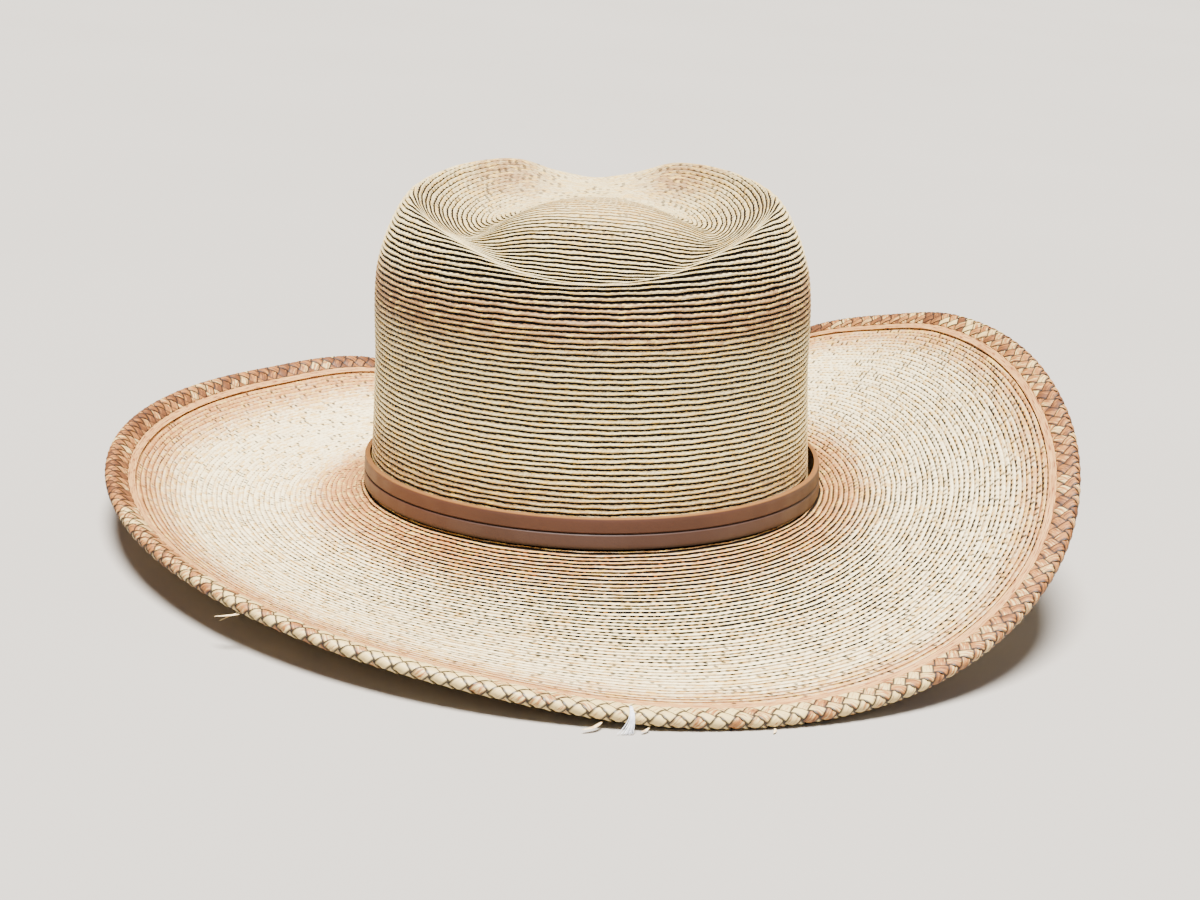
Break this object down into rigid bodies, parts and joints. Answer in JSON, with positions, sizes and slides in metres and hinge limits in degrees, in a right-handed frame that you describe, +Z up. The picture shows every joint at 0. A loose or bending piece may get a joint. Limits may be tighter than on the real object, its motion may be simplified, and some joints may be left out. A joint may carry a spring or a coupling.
{
  "type": "straw cowboy hat",
  "caption": "Straw cowboy hat with a dented crown, a wide brim turned up at the sides, a plaited straw edge binding and a leather strap round the crown.",
  "frame": {"origin": "middle of the hat's box at the floor, with the hat standing on the low front and back of its brim", "axes": "+Z up from the floor, +Y towards the hat's front, +X towards the side whose brim stands higher beside the crown"},
  "size_m": [0.3686, 0.4128, 0.1407],
  "materials": {
    "straw": "sewn straw braid, matt with a faint sheen, cream with toasted tan shading",
    "plaited_straw": "flat plait of cream and tan straw",
    "leather": "worn brown leather, satin"
  },
  "bodies": {
    "root": {"crown": "straw", "brim": "straw", "edge_binding": "plaited_straw", "hat_band": "leather"}
  },
  "joints": []
}
